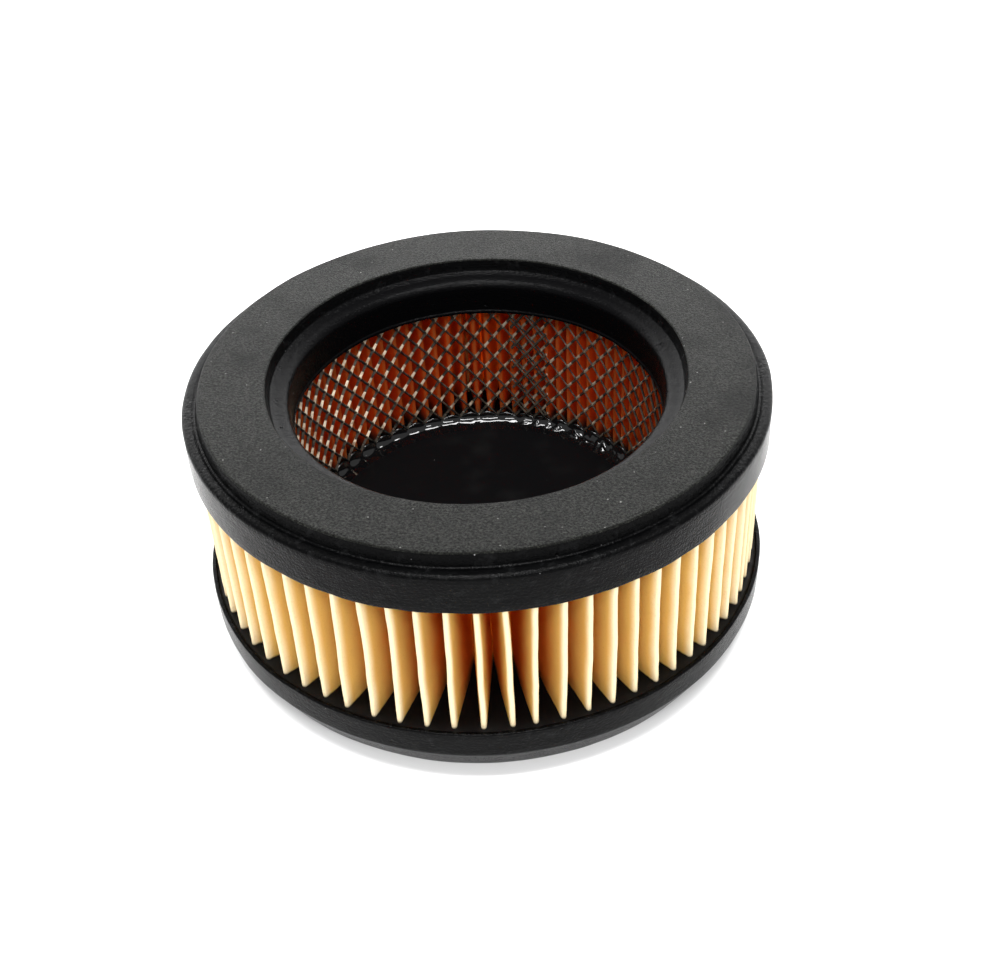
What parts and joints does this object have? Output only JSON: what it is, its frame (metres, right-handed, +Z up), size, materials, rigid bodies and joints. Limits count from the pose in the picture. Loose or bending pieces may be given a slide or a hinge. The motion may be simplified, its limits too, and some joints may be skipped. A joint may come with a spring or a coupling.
{
  "type": "pleated air filter element",
  "caption": "Round closed-bottom air filter element: pleated paper around an expanded metal tube, held between two cast rubber end caps.",
  "frame": {"origin": "on the round element's axis, in the plane of the lower end cap's standing face", "axes": "+Z up along the axis, out of the open upper end cap; -Y is the side that faces a viewer in front"},
  "size_m": [0.1246, 0.1246, 0.0576],
  "materials": {
    "end_cap_rubber": "matte",
    "filter_paper": "matte",
    "expanded_metal": "satin",
    "seam_glue": "satin"
  },
  "bodies": {
    "root": {"bottom_end_cap": "end_cap_rubber", "top_end_cap": "end_cap_rubber", "pleated_paper": "filter_paper", "inner_mesh_tube": "expanded_metal", "paper_seam_bead": "seam_glue"}
  },
  "joints": []
}
